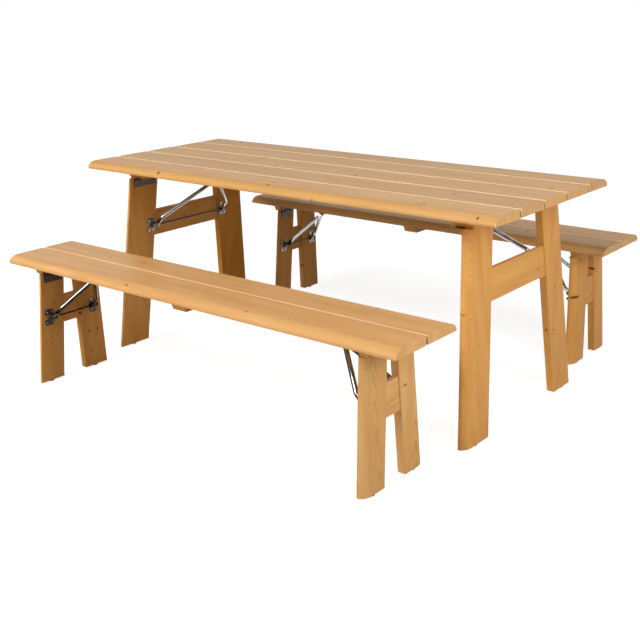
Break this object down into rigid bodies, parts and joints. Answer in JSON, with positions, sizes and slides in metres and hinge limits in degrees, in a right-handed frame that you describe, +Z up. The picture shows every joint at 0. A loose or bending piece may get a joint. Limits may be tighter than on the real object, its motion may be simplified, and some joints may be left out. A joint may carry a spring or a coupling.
{
  "type": "folding table and bench set",
  "caption": "Folding wooden table with a matching bench along each side; splayed board legs hinge under slatted tops and are held by steel V braces.",
  "frame": {"origin": "on the floor, at the middle of the set under the table's centre", "axes": "+X along the boards towards the right end, +Y across towards the back bench, +Z up"},
  "size_m": [1.8, 1.601, 0.75],
  "materials": {
    "lacquered_spruce": "clear lacquer",
    "zinc_steel": "zinc plated",
    "dark_steel": "dark coating",
    "glide_plastic": "matt"
  },
  "bodies": {
    "table_top": {"table_plank_1": "lacquered_spruce", "table_plank_2": "lacquered_spruce", "table_plank_3": "lacquered_spruce", "table_plank_4": "lacquered_spruce", "table_plank_5": "lacquered_spruce", "table_batten_middle": "lacquered_spruce", "table_top_hinge_leaves": "dark_steel", "table_catches": "dark_steel", "table_batten_left": "lacquered_spruce", "table_batten_right": "lacquered_spruce"},
    "table_legs_left": {"table_leg_front_left": "lacquered_spruce", "table_leg_back_left": "lacquered_spruce", "table_rail_left": "lacquered_spruce", "table_leg_hinge_leaves_left": "dark_steel", "table_clamps_left": "dark_steel", "table_glides_left": "glide_plastic"},
    "table_brace_left": {"table_arm_front_left": "zinc_steel", "table_arm_back_left": "zinc_steel", "table_rods_left": "zinc_steel"},
    "table_legs_right": {"table_leg_front_right": "lacquered_spruce", "table_leg_back_right": "lacquered_spruce", "table_rail_right": "lacquered_spruce", "table_leg_hinge_leaves_right": "dark_steel", "table_clamps_right": "dark_steel", "table_glides_right": "glide_plastic"},
    "table_brace_right": {"table_arm_front_right": "zinc_steel", "table_arm_back_right": "zinc_steel", "table_rods_right": "zinc_steel"},
    "front_bench_seat": {"front_bench_plank_1": "lacquered_spruce", "front_bench_plank_2": "lacquered_spruce", "front_bench_battens": "lacquered_spruce", "front_bench_top_hinge_leaves": "dark_steel", "front_bench_catches": "dark_steel"},
    "front_bench_legs_left": {"front_bench_legs_left": "lacquered_spruce", "front_bench_rail_left": "lacquered_spruce", "front_bench_fittings_left": "dark_steel", "front_bench_glides_left": "glide_plastic"},
    "front_bench_brace_left": {"front_bench_brace_left": "zinc_steel"},
    "front_bench_legs_right": {"front_bench_legs_right": "lacquered_spruce", "front_bench_rail_right": "lacquered_spruce", "front_bench_fittings_right": "dark_steel", "front_bench_glides_right": "glide_plastic"},
    "front_bench_brace_right": {"front_bench_brace_right": "zinc_steel"},
    "back_bench_seat": {"back_bench_plank_1": "lacquered_spruce", "back_bench_plank_2": "lacquered_spruce", "back_bench_battens": "lacquered_spruce", "back_bench_top_hinge_leaves": "dark_steel", "back_bench_catches": "dark_steel"},
    "back_bench_legs_left": {"back_bench_legs_left": "lacquered_spruce", "back_bench_rail_left": "lacquered_spruce", "back_bench_fittings_left": "dark_steel", "back_bench_glides_left": "glide_plastic"},
    "back_bench_brace_left": {"back_bench_brace_left": "zinc_steel"},
    "back_bench_legs_right": {"back_bench_legs_right": "lacquered_spruce", "back_bench_rail_right": "lacquered_spruce", "back_bench_fittings_right": "dark_steel", "back_bench_glides_right": "glide_plastic"},
    "back_bench_brace_right": {"back_bench_brace_right": "zinc_steel"}
  },
  "joints": [
    {"name": "table_leg_fold_left", "type": "hinge", "parent": "table_top", "child": "table_legs_left", "pos_m": [-0.73889, 0, 0.6777], "axis": [0, -1, 0], "range_deg": [0, 93.2]},
    {"name": "table_brace_turn_left", "type": "hinge", "parent": "table_legs_left", "child": "table_brace_left", "pos_m": [-0.74225, 0, 0.47958], "axis": [0, 1, 0], "range_deg": [0, 139.33]},
    {"name": "table_leg_fold_right", "type": "hinge", "parent": "table_top", "child": "table_legs_right", "pos_m": [0.73889, 0, 0.6777], "axis": [0, 1, 0], "range_deg": [0, 93.2]},
    {"name": "table_brace_turn_right", "type": "hinge", "parent": "table_legs_right", "child": "table_brace_right", "pos_m": [0.74225, 0, 0.47958], "axis": [0, -1, 0], "range_deg": [0, 139.33]},
    {"name": "front_bench_pull_out", "type": "slide", "parent": "table_top", "child": "front_bench_seat", "axis": [0, -1, 0], "range_m": [-0.12, 0.3]},
    {"name": "front_bench_leg_fold_left", "type": "hinge", "parent": "front_bench_seat", "child": "front_bench_legs_left", "pos_m": [-0.70379, -0.648, 0.4077], "axis": [0, -1, 0], "range_deg": [0, 91.3]},
    {"name": "front_bench_brace_turn_left", "type": "hinge", "parent": "front_bench_legs_left", "child": "front_bench_brace_left", "pos_m": [-0.69972, -0.648, 0.24757], "axis": [0, 1, 0], "range_deg": [0, 138.91]},
    {"name": "front_bench_leg_fold_right", "type": "hinge", "parent": "front_bench_seat", "child": "front_bench_legs_right", "pos_m": [0.70379, -0.648, 0.4077], "axis": [0, 1, 0], "range_deg": [0, 91.3]},
    {"name": "front_bench_brace_turn_right", "type": "hinge", "parent": "front_bench_legs_right", "child": "front_bench_brace_right", "pos_m": [0.69972, -0.648, 0.24757], "axis": [0, -1, 0], "range_deg": [0, 138.91]},
    {"name": "back_bench_pull_out", "type": "slide", "parent": "table_top", "child": "back_bench_seat", "axis": [0, 1, 0], "range_m": [-0.12, 0.3]},
    {"name": "back_bench_leg_fold_left", "type": "hinge", "parent": "back_bench_seat", "child": "back_bench_legs_left", "pos_m": [-0.70379, 0.648, 0.4077], "axis": [0, -1, 0], "range_deg": [0, 91.3]},
    {"name": "back_bench_brace_turn_left", "type": "hinge", "parent": "back_bench_legs_left", "child": "back_bench_brace_left", "pos_m": [-0.69972, 0.648, 0.24757], "axis": [0, 1, 0], "range_deg": [0, 138.91]},
    {"name": "back_bench_leg_fold_right", "type": "hinge", "parent": "back_bench_seat", "child": "back_bench_legs_right", "pos_m": [0.70379, 0.648, 0.4077], "axis": [0, 1, 0], "range_deg": [0, 91.3]},
    {"name": "back_bench_brace_turn_right", "type": "hinge", "parent": "back_bench_legs_right", "child": "back_bench_brace_right", "pos_m": [0.69972, 0.648, 0.24757], "axis": [0, -1, 0], "range_deg": [0, 138.91]}
  ],
  "couplings": [
    {"joint": "table_brace_turn_left", "follows": "table_leg_fold_left", "ratio": 1.4896},
    {"joint": "table_brace_turn_right", "follows": "table_leg_fold_right", "ratio": 1.4896},
    {"joint": "front_bench_brace_turn_left", "follows": "front_bench_leg_fold_left", "ratio": 1.5159},
    {"joint": "front_bench_brace_turn_right", "follows": "front_bench_leg_fold_right", "ratio": 1.5159},
    {"joint": "back_bench_brace_turn_left", "follows": "back_bench_leg_fold_left", "ratio": 1.5159},
    {"joint": "back_bench_brace_turn_right", "follows": "back_bench_leg_fold_right", "ratio": 1.5159}
  ]
}
